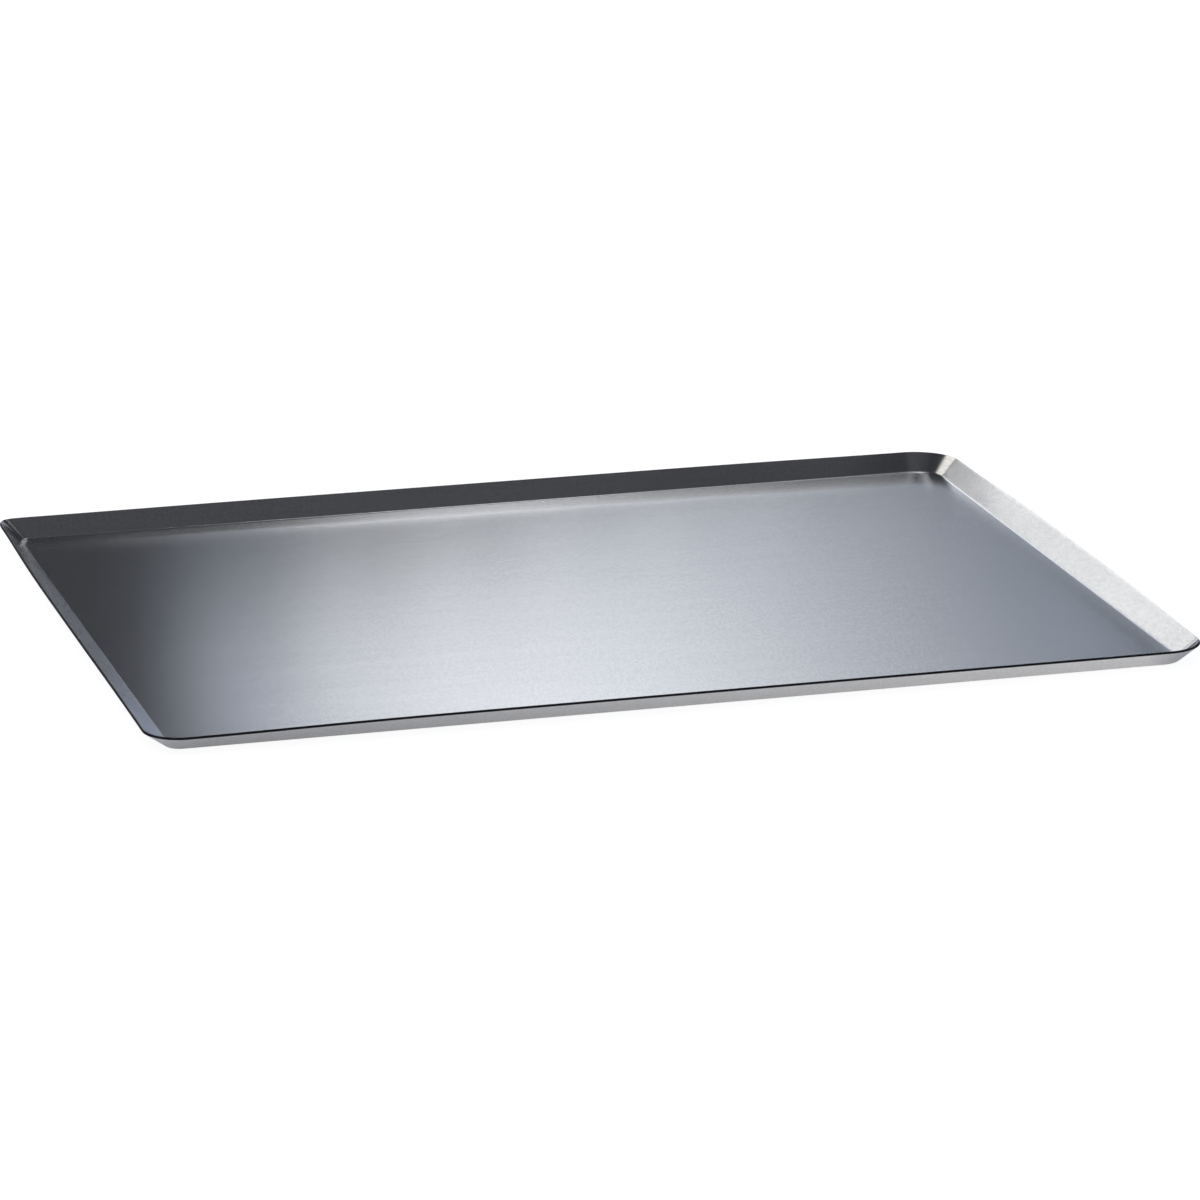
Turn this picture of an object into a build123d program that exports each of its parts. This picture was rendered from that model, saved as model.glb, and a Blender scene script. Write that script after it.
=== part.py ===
"""A shallow baking sheet, pressed from one blank of thin steel.

Its floor is flat, its four walls lean outwards at one slope, and the sheet keeps the same
thickness through the bend, up the walls and round the corners. The rim is the bare cut edge
of the sheet, square to the wall, with its burrs taken off.

Frame: millimetres, +Z up, the long side along X. The origin is the centre of the underside.
"""

from build123d import *
from math import cos, radians, sin
import os

# Overall size, measured over the outer edge of the rim
overall_length = 400.0
overall_width = 300.0
overall_height = 7.8

# The sheet and how it is bent
sheet_thickness = 1.0
inner_bend_radius = 2.5
wall_slope = 38.0  # degrees up from the floor
floor_corner_radius = 5.5  # plan radius where the flat floor ends
edge_break_radius = 0.15  # rounding left on the rim when it is deburred

# The bend turns about one centre, so the sheet keeps its thickness through it
outer_bend_radius = inner_bend_radius + sheet_thickness
bend_centre_height = outer_bend_radius
slope_sin = sin(radians(wall_slope))
slope_cos = cos(radians(wall_slope))

# Where the bend ends and the straight wall begins, out from the floor's edge and up
inner_wall_foot = (inner_bend_radius * slope_sin, bend_centre_height - inner_bend_radius * slope_cos)
outer_wall_foot = (outer_bend_radius * slope_sin, bend_centre_height - outer_bend_radius * slope_cos)

# Rounding a square edge of the rim takes this much off its highest and its outermost line
edge_break_loss = edge_break_radius * (slope_sin + slope_cos - 1)

# The inner edge of the rim is the highest line of the sheet, which settles the wall's length
wall_length = (overall_height + edge_break_loss - inner_wall_foot[1]) / slope_sin
wall_reach = wall_length * slope_cos
wall_rise = wall_length * slope_sin
inner_rim = (inner_wall_foot[0] + wall_reach, inner_wall_foot[1] + wall_rise)
outer_rim = (outer_wall_foot[0] + wall_reach, outer_wall_foot[1] + wall_rise)

# The flat floor is what is left of the overall size inside the bend and the wall
wall_overhang = outer_rim[0] - edge_break_loss
floor_length = overall_length - 2 * wall_overhang
floor_width = overall_width - 2 * wall_overhang
rim_corner_radius = floor_corner_radius + wall_overhang

with BuildPart() as baking_sheet:
    # Flat floor
    with BuildSketch():
        RectangleRounded(floor_length, floor_width, floor_corner_radius)
    extrude(amount=sheet_thickness)

    # A quarter of the line where the floor ends: half the front, one corner, half a side
    with BuildLine() as floor_edge:
        FilletPolyline(
            (0, -floor_width / 2),
            (floor_length / 2, -floor_width / 2),
            (floor_length / 2, 0),
            radius=floor_corner_radius,
        )

    # Section through the bend and the wall, standing across the middle of the front.
    # Its X points out of the sheet, its Y points up.
    with BuildSketch(Plane((0, -floor_width / 2, 0), x_dir=(0, -1, 0), z_dir=(-1, 0, 0))) as wall_section:
        with BuildLine():
            Line((0, 0), (0, sheet_thickness))
            RadiusArc((0, sheet_thickness), inner_wall_foot, -inner_bend_radius)
            Line(inner_wall_foot, inner_rim)
            Line(inner_rim, outer_rim)
            Line(outer_rim, outer_wall_foot)
            RadiusArc(outer_wall_foot, (0, 0), outer_bend_radius)
        make_face()
        rim_points = wall_section.vertices().sort_by(SortBy.DISTANCE, reverse=True)[:2]
        fillet(rim_points, radius=edge_break_radius)
    sweep(path=floor_edge)

    # The other three quarters mirror the first
    mirror(about=Plane.YZ)
    mirror(about=Plane.XZ)

baking_sheet.part.label = "baking_sheet"

print(f"flat floor {floor_length:.2f} x {floor_width:.2f} mm")
print(f"wall {wall_length:.2f} mm long, rim corner radius {rim_corner_radius:.2f} mm")

os.makedirs("parts", exist_ok=True)
export_step(baking_sheet.part, "parts/baking_sheet.step")
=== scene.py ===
import bpy
from math import cos, exp, pi, radians, sin
from mathutils import Matrix, Vector


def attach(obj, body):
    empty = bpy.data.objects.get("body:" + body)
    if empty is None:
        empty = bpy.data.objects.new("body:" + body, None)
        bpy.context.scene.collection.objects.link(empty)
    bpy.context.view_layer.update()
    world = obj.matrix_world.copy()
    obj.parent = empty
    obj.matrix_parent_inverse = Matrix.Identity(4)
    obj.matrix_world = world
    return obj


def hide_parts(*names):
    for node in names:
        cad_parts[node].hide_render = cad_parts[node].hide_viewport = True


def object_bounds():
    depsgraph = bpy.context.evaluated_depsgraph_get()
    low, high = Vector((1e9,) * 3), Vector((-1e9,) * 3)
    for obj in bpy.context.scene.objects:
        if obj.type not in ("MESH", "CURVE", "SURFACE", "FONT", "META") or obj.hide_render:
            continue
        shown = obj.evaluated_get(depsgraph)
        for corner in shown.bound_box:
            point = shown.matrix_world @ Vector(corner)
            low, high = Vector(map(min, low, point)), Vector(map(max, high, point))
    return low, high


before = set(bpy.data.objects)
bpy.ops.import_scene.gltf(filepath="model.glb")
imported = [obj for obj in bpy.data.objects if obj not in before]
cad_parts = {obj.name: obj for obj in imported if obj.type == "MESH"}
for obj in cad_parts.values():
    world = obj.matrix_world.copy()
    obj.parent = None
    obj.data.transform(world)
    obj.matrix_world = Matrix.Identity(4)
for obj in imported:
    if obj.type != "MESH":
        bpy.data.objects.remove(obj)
cadLow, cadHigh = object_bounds()
mm = 0.001  # lengths are in metres unless a note says millimetres


# Small helpers

mathNode = "ShaderNodeMath"
vectorNode = "ShaderNodeVectorMath"
rangeNode = "ShaderNodeMapRange"
mixNode = "ShaderNodeMix"
# A Mix node's sockets for colours, by number, because their names lead to the ones for plain numbers
colourA, colourB, colourResult = 6, 7, 2


def linearColour(hexText):
    channels = [int(hexText[i:i + 2], 16) / 255 for i in (1, 3, 5)]
    return [c / 12.92 if c <= 0.04045 else ((c + 0.055) / 1.055) ** 2.4 for c in channels] + [1]


def nodesFor(tree):
    # Gives the function that adds a node to this tree and gives back the node's outputs. Its feeds are
    # values or other nodes' outputs, in the order of the sockets, or one dictionary of them by the sockets'
    # names or numbers. Its settings are the node's own options.
    def add(kind, *feeds, **settings):
        node = tree.nodes.new(kind)
        for name, value in settings.items():
            setattr(node, name, value)
        bySocket = feeds[0] if feeds and isinstance(feeds[0], dict) else dict(enumerate(feeds))
        for key, value in bySocket.items():
            socket = node.inputs[key]
            if isinstance(value, bpy.types.NodeSocket):
                tree.links.new(value, socket)
            else:
                socket.default_value = value
        return node.outputs

    return add


# Camera, at the photo's viewpoint

viewpoint = {
    "turn": -16.04,  # degrees round the sheet from straight in front
    "height": 16.24,  # degrees above the sheet
    "distance": 2.275,
    "aim": Vector((5.66, -5.17, 1.2)) * mm,
    "lens": 179.1,  # millimetres
    "nearest": 0.05,  # nothing nearer than this is drawn
}


def makeCamera():
    turn, height = radians(viewpoint["turn"]), radians(viewpoint["height"])
    back = Vector((sin(turn) * cos(height), -cos(turn) * cos(height), sin(height)))
    data = bpy.data.cameras.new("camera")
    data.lens = viewpoint["lens"]
    data.clip_start = viewpoint["nearest"]
    camera = bpy.data.objects.new("camera", data)
    bpy.context.collection.objects.link(camera)
    spin = (-back).to_track_quat("-Z", "Y").to_matrix()
    camera.matrix_world = Matrix.Translation(viewpoint["aim"] + back * viewpoint["distance"]) @ spin.to_4x4()
    bpy.context.scene.camera = camera


makeCamera()
print("camera placed")


# The sheet: one blank, pressed

sheet = {
    "thickness": 1.0 * mm,
    "bendRadius": 1.5 * mm,  # inside of the bend, a little crisper than on the drawing, as in the photo
    "wallSlope": 38,  # degrees up from the floor
    "edgeBreak": 0.15 * mm,  # rounding of the deburred rim
    "edgeBreakSteps": 3,
    "sharpAngle": 60,  # degrees; only the two edges of the rim turn by more
    "cutFacesOut": 0.015,  # normal times place: the rim and the outsides of the walls are above this
    "cutFacesUp": -0.2,  # height of the normal: of those, only the rim is above this
    "floorCellsX": 60,
    "floorCellsY": 46,
    "cornerRings": 6,
    "bendRings": 12,
    "wallRings": 14,
    "cornerPull": 54 * mm,  # how far along the rim a corner's own shape reaches
    "tipSharpness": 3.0,  # how closely a tip keeps to the diagonal of its corner
}

# The press leaves each corner a little different. In millimetres: the radius where the floor ends,
# how far the rim is drawn in and lifted, and how far its tip is left standing out past the round.
cornerForm = {
    "Front Left": {"Radius": 4.3, "Draw In": 0.5, "Lift": -1.0, "Tip": 0},
    "Front Right": {"Radius": 7.7, "Draw In": 1.2, "Lift": -0.4, "Tip": 0},
    "Back Left": {"Radius": 3.0, "Draw In": 1.35, "Lift": 0.15, "Tip": 1.8},
    "Back Right": {"Radius": 11.0, "Draw In": 2.1, "Lift": 0.15, "Tip": 0},
}


def pressedSheetTree():
    tree = bpy.data.node_groups.new("pressedSheet", "GeometryNodeTree")
    sockets = tree.interface
    sockets.new_socket("Geometry", in_out="OUTPUT", socket_type="NodeSocketGeometry")
    for name in ("Floor Length", "Floor Width", "Thickness", "Bend Radius", "Wall Slope", "Wall Length",
                 "Corner Pull", "Tip Sharpness"):
        sockets.new_socket(name, in_out="INPUT", socket_type="NodeSocketFloat")
    for name in ("Cells X", "Cells Y", "Corner Rings", "Bend Rings", "Wall Rings"):
        sockets.new_socket(name, in_out="INPUT", socket_type="NodeSocketInt")
    for corner, form in cornerForm.items():
        for name in form:
            sockets.new_socket(f"{name} {corner}", in_out="INPUT", socket_type="NodeSocketFloat")
    sockets.new_socket("Material", in_out="INPUT", socket_type="NodeSocketMaterial")
    add = nodesFor(tree)
    given = add("NodeGroupInput")

    # The blank is a grid whose cells are 1 long, with a core for the floor and rings of cells round it
    wallStart = add(mathNode, given["Corner Rings"], given["Bend Rings"], operation="ADD")[0]
    rings = add(mathNode, wallStart, given["Wall Rings"], operation="ADD")[0]
    cells, points = {}, {}
    for axis in "XY":
        cells[axis] = add(mathNode, rings, 2.0, given["Cells " + axis], operation="MULTIPLY_ADD")[0]
        points[axis] = add(mathNode, cells[axis], 1.0, operation="ADD")[0]
    blank = add("GeometryNodeMeshGrid", cells["X"], cells["Y"], points["X"], points["Y"])["Mesh"]
    place = add("ShaderNodeSeparateXYZ", add("GeometryNodeInputPosition")[0])

    # Where each point lies in the core, from 0 to 1 across it, and how many rings it is beyond the core
    across, beyond, ringsOut = {}, {}, {}
    for axis in "XY":
        half = add(mathNode, given["Cells " + axis], 2.0, operation="DIVIDE")[0]
        minusHalf = add(mathNode, half, -1.0, operation="MULTIPLY")[0]
        inCore = add("ShaderNodeClamp", place[axis], minusHalf, half)[0]
        fromMiddle = add(mathNode, inCore, given["Cells " + axis], operation="DIVIDE")[0]
        across[axis] = add(mathNode, fromMiddle, 0.5, operation="ADD")[0]
        beyond[axis] = add(mathNode, place[axis], inCore, operation="SUBTRACT")[0]
        ringsOut[axis] = add(mathNode, beyond[axis], operation="ABSOLUTE")[0]
    ring = add(mathNode, ringsOut["X"], ringsOut["Y"], operation="MAXIMUM")[0]
    outwards = add("ShaderNodeCombineXYZ", beyond["X"], beyond["Y"])[0]
    outwards = add(vectorNode, outwards, operation="NORMALIZE")[0]

    def byCorner(name):  # each corner's own value, blended along the sides
        rows = []
        for row in ("Front", "Back"):
            left, right = given[f"{name} {row} Left"], given[f"{name} {row} Right"]
            change = add(mathNode, right, left, operation="SUBTRACT")[0]
            rows.append(add(mathNode, across["X"], change, left, operation="MULTIPLY_ADD")[0])
        change = add(mathNode, rows[1], rows[0], operation="SUBTRACT")[0]
        return add(mathNode, across["Y"], change, rows[0], operation="MULTIPLY_ADD")[0]

    def share(start, length):  # 0 in the rings before start, 1 after start + length
        past = add(mathNode, ring, start, operation="SUBTRACT")[0]
        return add("ShaderNodeClamp", add(mathNode, past, length, operation="DIVIDE")[0])[0]

    # The core at its real size, less the corner radius on each side
    cornerRadius = byCorner("Radius")
    core, gap = {}, {}
    for axis, side in (("X", "Floor Length"), ("Y", "Floor Width")):
        straight = add(mathNode, cornerRadius, -2.0, given[side], operation="MULTIPLY_ADD")[0]
        fromMiddle = add(mathNode, across[axis], 0.5, operation="SUBTRACT")[0]
        core[axis] = add(mathNode, fromMiddle, straight, operation="MULTIPLY")[0]
        offMiddle = add(mathNode, core[axis], operation="ABSOLUTE")[0]
        offMiddle = add(mathNode, offMiddle, -1.0, operation="MULTIPLY")[0]
        gap[axis] = add(mathNode, straight, 0.5, offMiddle, operation="MULTIPLY_ADD")[0]

    # Section: the rest of the floor, the bend, then the wall
    flat = add(mathNode, share(0.0, given["Corner Rings"]), cornerRadius, operation="MULTIPLY")[0]
    bent = share(given["Corner Rings"], given["Bend Rings"])
    angle = add(mathNode, bent, given["Wall Slope"], operation="MULTIPLY")[0]
    climbed = share(wallStart, given["Wall Rings"])
    along = add(mathNode, climbed, given["Wall Length"], operation="MULTIPLY")[0]
    sine = add(mathNode, angle, operation="SINE")[0]
    cosine = add(mathNode, angle, operation="COSINE")[0]
    reach = add(mathNode, given["Bend Radius"], sine, flat, operation="MULTIPLY_ADD")[0]
    reach = add(mathNode, along, cosine, reach, operation="MULTIPLY_ADD")[0]
    rise = add(mathNode, 1.0, cosine, operation="SUBTRACT")[0]
    rise = add(mathNode, given["Bend Radius"], rise, operation="MULTIPLY")[0]
    rise = add(mathNode, rise, given["Thickness"], operation="ADD")[0]
    rise = add(mathNode, along, sine, rise, operation="MULTIPLY_ADD")[0]

    # Each corner pulls its own stretch of the wall out of shape, most of all at the rim
    upWall = add(mathNode, along, given["Wall Length"], operation="DIVIDE")[0]
    fromCorner = add(mathNode, gap["X"], gap["Y"], operation="ADD")[0]
    fromCorner = add(mathNode, fromCorner, given["Corner Pull"], operation="DIVIDE")[0]
    pull = add(mathNode, fromCorner, fromCorner, operation="MULTIPLY")[0]
    pull = add(mathNode, add(mathNode, pull, -1.0, operation="MULTIPLY")[0], operation="EXPONENT")[0]
    pull = add(mathNode, pull, upWall, operation="MULTIPLY")[0]
    drawIn = add(mathNode, pull, byCorner("Draw In"), operation="MULTIPLY")[0]
    reach = add(mathNode, reach, drawIn, operation="SUBTRACT")[0]
    rise = add(mathNode, pull, byCorner("Lift"), rise, operation="MULTIPLY_ADD")[0]

    # A tip stands out along the diagonal of its corner
    facing = add("ShaderNodeSeparateXYZ", outwards)
    diagonal = add(mathNode, facing["X"], facing["Y"], operation="MULTIPLY")[0]
    diagonal = add(mathNode, diagonal, operation="ABSOLUTE")[0]
    diagonal = add(mathNode, diagonal, 2.0, operation="MULTIPLY")[0]
    tip = add(mathNode, diagonal, given["Tip Sharpness"], operation="POWER")[0]
    tip = add(mathNode, tip, upWall, operation="MULTIPLY")[0]
    reach = add(mathNode, tip, byCorner("Tip"), reach, operation="MULTIPLY_ADD")[0]

    stand = add("ShaderNodeCombineXYZ", core["X"], core["Y"], rise)[0]
    reachOut = add(vectorNode, {0: outwards, "Scale": reach}, operation="SCALE")[0]
    formed = add(vectorNode, stand, reachOut, operation="ADD")[0]
    pressed = add("GeometryNodeSetPosition", {"Geometry": blank, "Position": formed})[0]
    smooth = add("GeometryNodeSetShadeSmooth", pressed)[0]
    real = add("GeometryNodeRealizeInstances", smooth)[0]
    skinned = add("GeometryNodeSetMaterial", {"Geometry": real, "Material": given["Material"]})[0]
    add("NodeGroupOutput", skinned)
    return tree


def setInput(modifier, name, value):
    for item in modifier.node_group.interface.items_tree:
        if item.item_type == "SOCKET" and item.in_out == "INPUT" and item.name == name:
            modifier[item.identifier] = value


def makeSheet(faceMetal, edgeMetal):
    slope = radians(sheet["wallSlope"])
    breakLoss = sheet["edgeBreak"] * (sin(slope) + cos(slope) - 1)  # what the rounding takes off the rim
    outerRadius = sheet["bendRadius"] + sheet["thickness"]
    wallRise = cadHigh.z + breakLoss - outerRadius + sheet["bendRadius"] * cos(slope)
    wallLength = wallRise / sin(slope)
    overhang = outerRadius * sin(slope) + wallLength * cos(slope) - breakLoss
    size = cadHigh - cadLow
    blank = bpy.data.objects.new("blank", bpy.data.meshes.new("blank"))
    bpy.context.collection.objects.link(blank)
    press = blank.modifiers.new("press", "NODES")
    press.node_group = pressedSheetTree()
    for name, value in {
        "Floor Length": size.x - 2 * overhang,
        "Floor Width": size.y - 2 * overhang,
        "Thickness": sheet["thickness"],
        "Bend Radius": sheet["bendRadius"],
        "Wall Slope": slope,
        "Wall Length": wallLength,
        "Corner Pull": sheet["cornerPull"],
        "Tip Sharpness": sheet["tipSharpness"],
        "Cells X": sheet["floorCellsX"],
        "Cells Y": sheet["floorCellsY"],
        "Corner Rings": sheet["cornerRings"],
        "Bend Rings": sheet["bendRings"],
        "Wall Rings": sheet["wallRings"],
        "Material": faceMetal,
    }.items():
        setInput(press, name, value)
    for corner, form in cornerForm.items():
        for name, value in form.items():
            setInput(press, f"{name} {corner}", value * mm)
    gauge = blank.modifiers.new("gauge", "SOLIDIFY")
    gauge.thickness = sheet["thickness"]
    gauge.offset = -1
    gauge.use_even_offset = True
    deburr = blank.modifiers.new("deburr", "BEVEL")
    deburr.width = sheet["edgeBreak"]
    deburr.segments = sheet["edgeBreakSteps"]
    deburr.limit_method = "ANGLE"
    deburr.angle_limit = radians(sheet["sharpAngle"])
    deburr.harden_normals = True
    graph = bpy.context.evaluated_depsgraph_get()
    mesh = bpy.data.meshes.new_from_object(blank.evaluated_get(graph))
    bpy.data.objects.remove(blank)
    mesh.name = "pressed_sheet"
    mesh.materials.clear()
    mesh.materials.append(faceMetal)
    mesh.materials.append(edgeMetal)
    cutFaces = 0
    for face in mesh.polygons:
        outwards = face.normal.x * face.center.x + face.normal.y * face.center.y
        isCut = outwards > sheet["cutFacesOut"] and face.normal.z > sheet["cutFacesUp"]
        face.material_index = int(isCut)
        cutFaces += isCut
    piece = bpy.data.objects.new("pressed_sheet", mesh)
    bpy.context.collection.objects.link(piece)
    print("sheet pressed:", len(mesh.polygons), "faces,", cutFaces, "of them on the cut rim")
    return piece


# Materials

# A pattern's values lie mostly between 0.3 and 0.7. The less of that is spread out, the harder the contrast.
contrast = {
    "soft": (0.3, 0.7),
    "clear": (0.35, 0.65),
    "hard": (0.4, 0.6),
}
patternDecay = 0.55  # how much of each step of detail the next finer one keeps


def placeInMillimetres(add):
    place = add("ShaderNodeTexCoord")["Object"]
    return add(vectorNode, {0: place, "Scale": 1 / mm}, operation="SCALE")[0]


def patternNoise(add, place, size, detail, seed):
    # size is the length in millimetres of one cell of the pattern along x, y and z
    stretched = add("ShaderNodeMapping", {
        "Vector": place, "Location": (seed, seed, seed), "Scale": [1 / length for length in size]})[0]
    return add("ShaderNodeTexNoise", {
        "Vector": stretched, "Scale": 1.0, "Detail": detail, "Roughness": patternDecay})["Fac"]


def newMetal(name):
    metal = bpy.data.materials.new(name)
    metal.use_nodes = True
    shader = metal.node_tree.nodes["Principled BSDF"]
    shader.inputs["Metallic"].default_value = 1
    return metal, metal.node_tree, shader


# Each pattern has its size in millimetres, its steps of detail and its seed
satinSteel = {
    "steel": "#BDBEBF",
    "oxide": "#B3B5B8",  # thin blue-grey film from the heat of the oven
    "bare": "#CBCBCC",
    "grain": ((26, 1.1, 1.1), 3.0, 0.0),  # rolling marks, the long way; the real ones are finer than a pixel
    "speckle": ((0.8, 2.2, 0.8), 2.0, 7.0),
    "cloud": ((120, 10, 10), 2.0, 3.0),  # heat tint, drawn out the long way by the rolling
    "oxideShares": (0.2, 0.5),  # where the tint is weakest and strongest
    "grainShare": 0.2,  # how bare the metal is in the strongest marks
    "speckleShare": 0.6,
    "rubbedRim": (7.1, 7.8),  # millimetres up, between which the rim gets rubbed bright
    "rubbedFoot": 0.35,  # millimetres up, below which oven racks rub the underside
    "rubbedShares": (0.2, 0.8),  # the rubbing is patchy
    "roughness": 0.19,
    "rubbedRoughness": 0.11,
    "grainSwing": 0.01,  # how far a pattern moves the roughness up and down
    "speckleSwing": 0.005,
    "cloudSwing": 0.003,
    "speckleRelief": 0.5,  # height of the speckle, where that of the grain is 1
    "bumpStrength": 0.05,
    "bumpDepth": 0.002 * mm,
}


def satinRolledSteel():
    # Satin steel sheet: long faint rolling marks, a fine mottle and soft clouds of heat tint
    metal, tree, shader = newMetal("satin_rolled_steel")
    add = nodesFor(tree)
    place = placeInMillimetres(add)
    height = add("ShaderNodeSeparateXYZ", place)["Z"]
    grain, speckle, cloud = [
        patternNoise(add, place, *satinSteel[name]) for name in ("grain", "speckle", "cloud")]

    # Edge wear: hands and racks polish the top of the wall and the foot of the underside
    rim = add(rangeNode, height, *satinSteel["rubbedRim"], 0.0, 1.0)[0]
    foot = add(rangeNode, height, satinSteel["rubbedFoot"], 0.0, 0.0, 1.0)[0]
    worn = add(mathNode, rim, foot, operation="MAXIMUM")[0]
    patches = add(rangeNode, speckle, *contrast["clear"], *satinSteel["rubbedShares"])[0]
    rubbed = add(mathNode, worn, patches, operation="MULTIPLY")[0]

    tint = add(rangeNode, cloud, *contrast["clear"], *satinSteel["oxideShares"])[0]
    marks = add(rangeNode, grain, *contrast["hard"], 0.0, satinSteel["grainShare"])[0]
    flecks = add(rangeNode, speckle, *contrast["hard"], 0.0, satinSteel["speckleShare"])[0]
    colour = linearColour(satinSteel["steel"])
    for share, coat in ((tint, "oxide"), (marks, "bare"), (flecks, "bare"), (rubbed, "bare")):
        layers = {"Factor": share, colourA: colour, colourB: linearColour(satinSteel[coat])}
        colour = add(mixNode, layers, data_type="RGBA")[colourResult]
    tree.links.new(colour, shader.inputs["Base Color"])

    swings = []
    for pattern, name in ((grain, "grainSwing"), (speckle, "speckleSwing"), (cloud, "cloudSwing")):
        swings.append(add(rangeNode, pattern, *contrast["soft"], -satinSteel[name], satinSteel[name])[0])
    polished = add(rangeNode, rubbed, 0.0, 1.0, satinSteel["roughness"], satinSteel["rubbedRoughness"])[0]
    rough = swings[0]
    for part in (*swings[1:], polished):
        rough = add(mathNode, rough, part, operation="ADD")[0]
    tree.links.new(rough, shader.inputs["Roughness"])

    pits = add(rangeNode, speckle, 0.0, 1.0, 0.0, satinSteel["speckleRelief"])[0]
    bump = add("ShaderNodeBump", {
        "Height": add(mathNode, grain, pits, operation="ADD")[0],
        "Strength": satinSteel["bumpStrength"],
        "Distance": satinSteel["bumpDepth"],
    })[0]
    tree.links.new(bump, shader.inputs["Normal"])
    return metal


shearedEdge = {
    "burnished": "#4E4F50",
    "torn": "#2E2F30",
    "lines": ((0.5, 0.5, 6.0), 2.0, 11.0),  # they stand across the thickness, coarser than the real ones
    "roughness": (0.3, 0.46),  # where it is burnished and where it is torn
    "bumpStrength": 0.3,
    "bumpDepth": 0.03 * mm,
}


def shearedSteelEdge():
    # Cut edge: dull torn metal, much darker than the faces, with fine lines left by the press tool
    metal, tree, shader = newMetal("sheared_edge")
    add = nodesFor(tree)
    lines = patternNoise(add, placeInMillimetres(add), *shearedEdge["lines"])
    torn = add(rangeNode, lines, *contrast["clear"], 0.0, 1.0)[0]
    layers = {
        "Factor": torn,
        colourA: linearColour(shearedEdge["burnished"]),
        colourB: linearColour(shearedEdge["torn"]),
    }
    tree.links.new(add(mixNode, layers, data_type="RGBA")[colourResult], shader.inputs["Base Color"])
    rough = add(rangeNode, torn, 0.0, 1.0, *shearedEdge["roughness"])[0]
    tree.links.new(rough, shader.inputs["Roughness"])
    bump = add("ShaderNodeBump", {
        "Height": lines,
        "Strength": shearedEdge["bumpStrength"],
        "Distance": shearedEdge["bumpDepth"],
    })[0]
    tree.links.new(bump, shader.inputs["Normal"])
    return metal


metals = satinRolledSteel(), shearedSteelEdge()
print("metals made:", ", ".join(metal.name for metal in metals))

piece = makeSheet(*metals)
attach(piece, "root")
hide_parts("baking_sheet")


# Floor and light

paper = {
    "size": 12,
    "below": 0.05 * mm,  # keeps the paper out of the sheet's own underside
    "glow": 0.9,  # the camera's white; the rest comes from lamps and keeps the shadow
    "shadowGrey": 0.2,  # how much of the lamps' light the camera sees on the paper
    "grey": 0.9,  # how much of it the paper really throws back
    "inMetal": (0.18, 0.5),  # painted light: its strength at the left and the right end of the sheet
    "ends": (-200.0, 200.0),  # millimetres
    "paintedShadowUnderCorner": 0.2,  # share of it left in the sheet's own shadow at the right, a painted shadow
    "paintedShadowUnderCornerFrom": (176.0, 192.0),  # millimetres, where that painted shadow begins and where it is full
    "tintInMetal": "#FFFCF7",
    "seen": "#FFFFFF",
}

room = {
    "strength": 0.8,
    "tint": "#ECF0FF",
    "seen": "#FFFFFF",
    "inMetal": (0.05, 0.5),  # dark behind the sheet, between the panels, and pale in front and beside it
    "darkBehind": (0.42, 0.2),  # how far back a direction points where the room is dark, then where pale
    "darkAbove": (0.55, 0.68),  # how far up it points where the room is pale, then where dark
}

# At strength 1 a mirror would show a panel as plain white.
# A bank of tubes behind the sheet, which fades out to both sides of its brightest tube
bank = {
    "firstTube": Vector((0.235, 1.2, 0.599)),
    "step": Vector((0.0653, 0, -0.016)),
    "facing": Vector((0, -1, 0)),
    "tube": (0.0645, 0.515),  # width and height
    "lean": -30,  # degrees
    "tubes": 9,
    "brightest": 1.2,  # its place in the bank, in steps from the first tube
    "strength": 1.6,
    "fadeLeft": 2.0,  # steps from the brightest tube to 37% of its strength
    "fadeRight": 4.7,
    "coldLeft": 1.6,  # how much colder the tubes have become there
    "coldRight": 0.5,
    "colour": (0.945, 0.965, 1.0),
    "coldLoss": (0.25, 0.15, 0.0),
}

# Other panels: middle, lean in degrees, width, height, strength and colour.
# Each one faces the middle of the sheet.
panels = {
    "left_low": ((-0.93, 3.94, 1.33), 0, 0.3, 0.45, 1.15, "#FFFFFF"),
    "left_outer": ((-0.89, 3.79, 1.75), 0, 0.3, 0.45, 1.55, "#FFFFFF"),
    "left_inner": ((-0.62, 3.85, 1.75), 0, 0.3, 0.45, 1.75, "#FFFFFF"),
    "left_high": ((-0.83, 3.59, 2.15), 0, 0.3, 0.45, 1.5, "#FFFFFF"),
    "left_corner": ((-1.29, 3.81, 1.68), 0, 0.45, 0.45, 0.65, "#FFFFFF"),
    "middle_far": ((-0.1, 3.87, 1.86), 0, 0.8, 0.4, 1.7, "#FFFFFF"),
    "middle_low": ((-0.19, 4.04, 0.97), 0, 0.58, 0.8, 1.3, "#FBFDFF"),
    "top_left": ((0.32, 0.8, 1.2), 0, 0.16, 0.6, 1.4, "#FFFFFF"),
    "top": ((0.49, 0.8, 1.2), 0, 0.18, 0.6, 0.72, "#FFFFFF"),
    "top_right": ((0.51, 0.48, 1.32), 0, 0.26, 0.35, 0.6, "#FFFFFF"),
    "over_corner": ((-0.317, 0.976, 2.82), 0, 0.7, 0.55, 0.8, "#FFFFFF"),
    "corner": ((-0.58, 1.06, 0.9), -41, 0.76, 0.32, 1.6, "#FFFAF2"),
    "low_right": ((0.39, 1.2, 0.12), 0, 0.16, 0.14, 1.1, "#C8DAFF"),
    "low_far_right": ((0.78, 1.2, 0.12), 0, 0.25, 0.2, 5.0, "#D4E2FF"),
    "ceiling": ((0.1, -0.1, 2.0), 0, 1.1, 1.5, 0.05, "#FFFFFF"),
}


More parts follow.
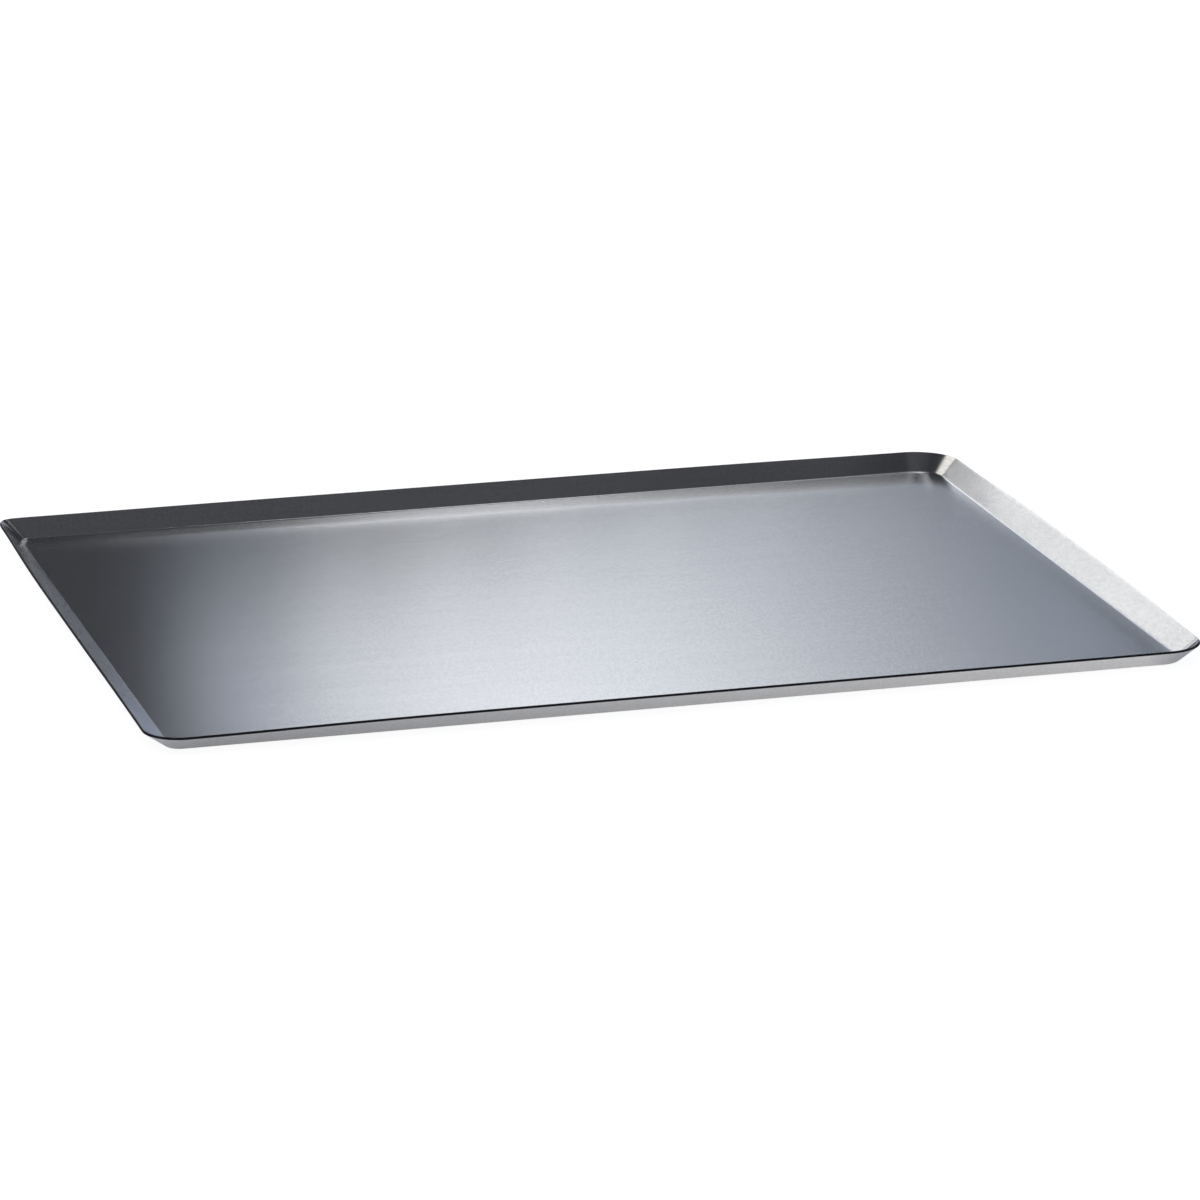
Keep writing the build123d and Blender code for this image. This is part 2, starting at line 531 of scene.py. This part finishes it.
def addPanel(name, middle, facing, lean, width, height, strength, colour):
    data = bpy.data.lights.new(name, "AREA")
    data.shape = "RECTANGLE"
    data.size = width
    data.size_y = height
    data.energy = strength * pi * width * height
    data.color = colour[:3]
    panel = bpy.data.objects.new(name, data)
    bpy.context.collection.objects.link(panel)
    spin = facing.to_track_quat("-Z", "Y").to_matrix() @ Matrix.Rotation(-radians(lean), 3, "Z")
    panel.matrix_world = Matrix.Translation(middle) @ spin.to_4x4()
    panel.visible_camera = False


def addBank():
    for tube in range(bank["tubes"]):
        off = tube - bank["brightest"]
        side = "Left" if off < 0 else "Right"
        fade = (off / bank["fade" + side]) ** 2
        strength = bank["strength"] * exp(-fade)
        cold = bank["cold" + side] * fade  # the tubes at the ends are a little colder
        colour = [full - loss * cold for full, loss in zip(bank["colour"], bank["coldLoss"])]
        middle = bank["firstTube"] + bank["step"] * tube
        addPanel("tube", middle, bank["facing"], bank["lean"], *bank["tube"], strength, colour)


def paperMaterial():
    # Plain matt paper, white to the camera, darker in the metal, where painted light falls off to the left
    # and a painted shadow lies at the right end
    material = bpy.data.materials.new("paper")
    material.use_nodes = True
    tree = material.node_tree
    add = nodesFor(tree)
    shader = tree.nodes["Principled BSDF"]
    seen = add("ShaderNodeLightPath")
    glow = add(mixNode, {"Factor": seen["Is Camera Ray"], "A": 0.0, "B": paper["glow"]})[0]
    along = add("ShaderNodeSeparateXYZ", placeInMillimetres(add))["X"]
    # Painted light: in the metal the paper is brighter towards the right end of the sheet
    inMetal = add(rangeNode, along, *paper["ends"], *paper["inMetal"])[0]
    # Painted shadow: in the metal the paper darkens at the right end, where the sheet's corner would shade
    # it
    shadow = add(rangeNode, along, *paper["paintedShadowUnderCornerFrom"], 1.0, paper["paintedShadowUnderCorner"])[0]
    inMetal = add(mathNode, inMetal, shadow, operation="MULTIPLY")[0]
    glow = add(mixNode, {"Factor": seen["Is Glossy Ray"], "A": glow, "B": inMetal})[0]
    tree.links.new(glow, shader.inputs["Emission Strength"])
    tints = {
        "Factor": seen["Is Camera Ray"],
        colourA: linearColour(paper["tintInMetal"]),
        colourB: linearColour(paper["seen"]),
    }
    tree.links.new(add(mixNode, tints, data_type="RGBA")[colourResult], shader.inputs["Emission Color"])
    shade = add(mixNode, {"Factor": seen["Is Camera Ray"], "A": paper["grey"], "B": paper["shadowGrey"]})[0]
    tree.links.new(add("ShaderNodeCombineColor", shade, shade, shade)[0], shader.inputs["Base Color"])
    shader.inputs["Roughness"].default_value = 1
    shader.inputs["Specular IOR Level"].default_value = 0
    # The paper has one side only, so that the sheet's underside can be looked at from below
    fromBelow = add("ShaderNodeNewGeometry")["Backfacing"]
    clear = add("ShaderNodeBsdfTransparent")[0]
    oneSided = add("ShaderNodeMixShader", fromBelow, shader.outputs[0], clear)[0]
    tree.links.new(oneSided, tree.nodes["Material Output"].inputs["Surface"])
    return material


def makeRoom():
    world = bpy.data.worlds.new("world")
    bpy.context.scene.world = world
    world.use_nodes = True
    tree = world.node_tree
    add = nodesFor(tree)
    seen = add("ShaderNodeLightPath")
    direction = add("ShaderNodeSeparateXYZ", add("ShaderNodeTexCoord")["Generated"])
    notBehind = add(rangeNode, direction["Y"], *room["darkBehind"], 0.0, 1.0)[0]
    notAbove = add(rangeNode, direction["Z"], *room["darkAbove"], 1.0, 0.0)[0]
    pale = add(mathNode, notBehind, notAbove, operation="MULTIPLY")[0]
    inMetal = add(rangeNode, pale, 0.0, 1.0, *room["inMetal"])[0]
    strength = add(mixNode, {"Factor": seen["Is Glossy Ray"], "A": room["strength"], "B": inMetal})[0]
    strength = add(mixNode, {"Factor": seen["Is Camera Ray"], "A": strength, "B": 1.0})[0]
    background = tree.nodes["Background"]
    tree.links.new(strength, background.inputs["Strength"])
    tints = {
        "Factor": seen["Is Camera Ray"],
        colourA: linearColour(room["tint"]),
        colourB: linearColour(room["seen"]),
    }
    tree.links.new(add(mixNode, tints, data_type="RGBA")[colourResult], background.inputs["Color"])


def makeStage():
    bpy.ops.mesh.primitive_plane_add(size=paper["size"], location=(0, 0, -paper["below"]))
    floor = bpy.context.object
    floor.name = "floor"
    floor.data.materials.append(paperMaterial())
    makeRoom()
    addBank()
    for name, (middle, *form, hexText) in panels.items():
        addPanel(name, Vector(middle), -Vector(middle), *form, linearColour(hexText))


makeStage()
bpy.context.scene.view_settings.view_transform = "Standard"
print("stage set,", bank["tubes"], "tubes and", len(panels), "panels")
